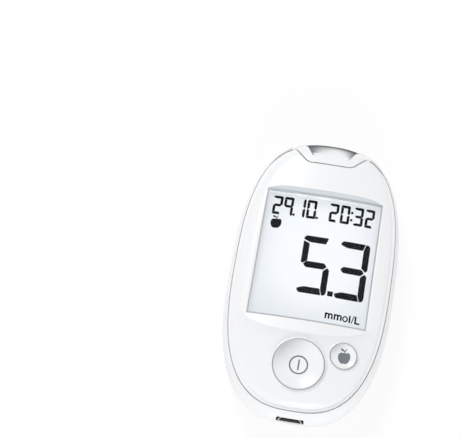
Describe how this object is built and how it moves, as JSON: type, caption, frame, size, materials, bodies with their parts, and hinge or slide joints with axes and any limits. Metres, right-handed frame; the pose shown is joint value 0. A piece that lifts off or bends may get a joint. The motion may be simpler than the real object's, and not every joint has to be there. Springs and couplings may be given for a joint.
{
  "type": "blood glucose meter",
  "caption": "Pocket blood glucose meter: white pebble housing, large display window, power key, meal key, test strip port, data socket and coin cell bay with a hinged door.",
  "frame": {"origin": "on the table, under the middle of the body's outline", "axes": "+Z out of the display face, +Y towards the end with the test strip port, +X to the right as the display is read"},
  "size_m": [0.054, 0.0979, 0.0204],
  "materials": {
    "gloss_white": "glossy moulded white",
    "satin_white": "satin moulded white",
    "clear_lens": "clear hard coated acrylic",
    "lcd_glass": "thin display glass",
    "polarizer": "matt film",
    "milky": "milky diffusing plastic",
    "inner_plastic": "dark moulded plastic",
    "board_green": "green solder mask",
    "chip_black": "black moulding compound",
    "steel": "bright steel",
    "contact_gold": "gold plated spring metal",
    "elastomer": "layered silicone rubber"
  },
  "bodies": {
    "housing": {"rear_cover": "satin_white", "front_cover": "gloss_white", "strip_port_insert": "gloss_white", "display_lens": "clear_lens", "strip_connector_housing": "inner_plastic", "data_socket_shell": "steel", "data_socket_tongue": "chip_black", "battery_cell_left": "steel", "battery_cell_right": "steel", "front_polarizer": "polarizer", "lcd_front_glass": "lcd_glass", "lcd_rear_glass": "lcd_glass", "rear_polarizer": "polarizer", "diffuser_sheet": "milky", "light_guide": "milky", "lcd_frame": "inner_plastic", "zebra_connector": "elastomer", "backlight_led_left": "milky", "backlight_led_right": "milky", "main_board": "board_green", "controller_chip": "chip_black", "analog_front_end_chip": "chip_black", "memory_chip": "chip_black", "crystal_can": "steel", "buzzer": "chip_black", "power_switch_body": "chip_black", "meal_switch_body": "chip_black", "strip_contact_1": "contact_gold", "strip_contact_2": "contact_gold", "strip_contact_3": "contact_gold", "strip_contact_4": "contact_gold", "strip_contact_5": "contact_gold", "cell_spring_left": "contact_gold", "cell_spring_right": "contact_gold", "cell_side_contact_left": "contact_gold", "cell_side_contact_right": "contact_gold", "case_screw_1": "steel", "case_screw_2": "steel", "case_screw_3": "steel", "case_screw_4": "steel"},
    "power_key": {"power_button": "gloss_white", "power_switch_stem": "inner_plastic"},
    "meal_key": {"meal_button": "gloss_white", "meal_switch_stem": "inner_plastic"},
    "door": {"battery_door": "satin_white"}
  },
  "joints": [
    {"name": "power_key_press", "type": "slide", "parent": "housing", "child": "power_key", "axis": [0, 0, -1], "range_m": [0, 0.0006], "stiffness_N_per_m": 2000, "springref_m": -0.0004},
    {"name": "meal_key_press", "type": "slide", "parent": "housing", "child": "meal_key", "axis": [0, 0, -1], "range_m": [0, 0.0006], "stiffness_N_per_m": 2000, "springref_m": -0.0004},
    {"name": "battery_door_swing", "type": "hinge", "parent": "housing", "child": "door", "pos_m": [0, 0.013, 0], "axis": [1, 0, 0], "range_deg": [0, 60]}
  ]
}
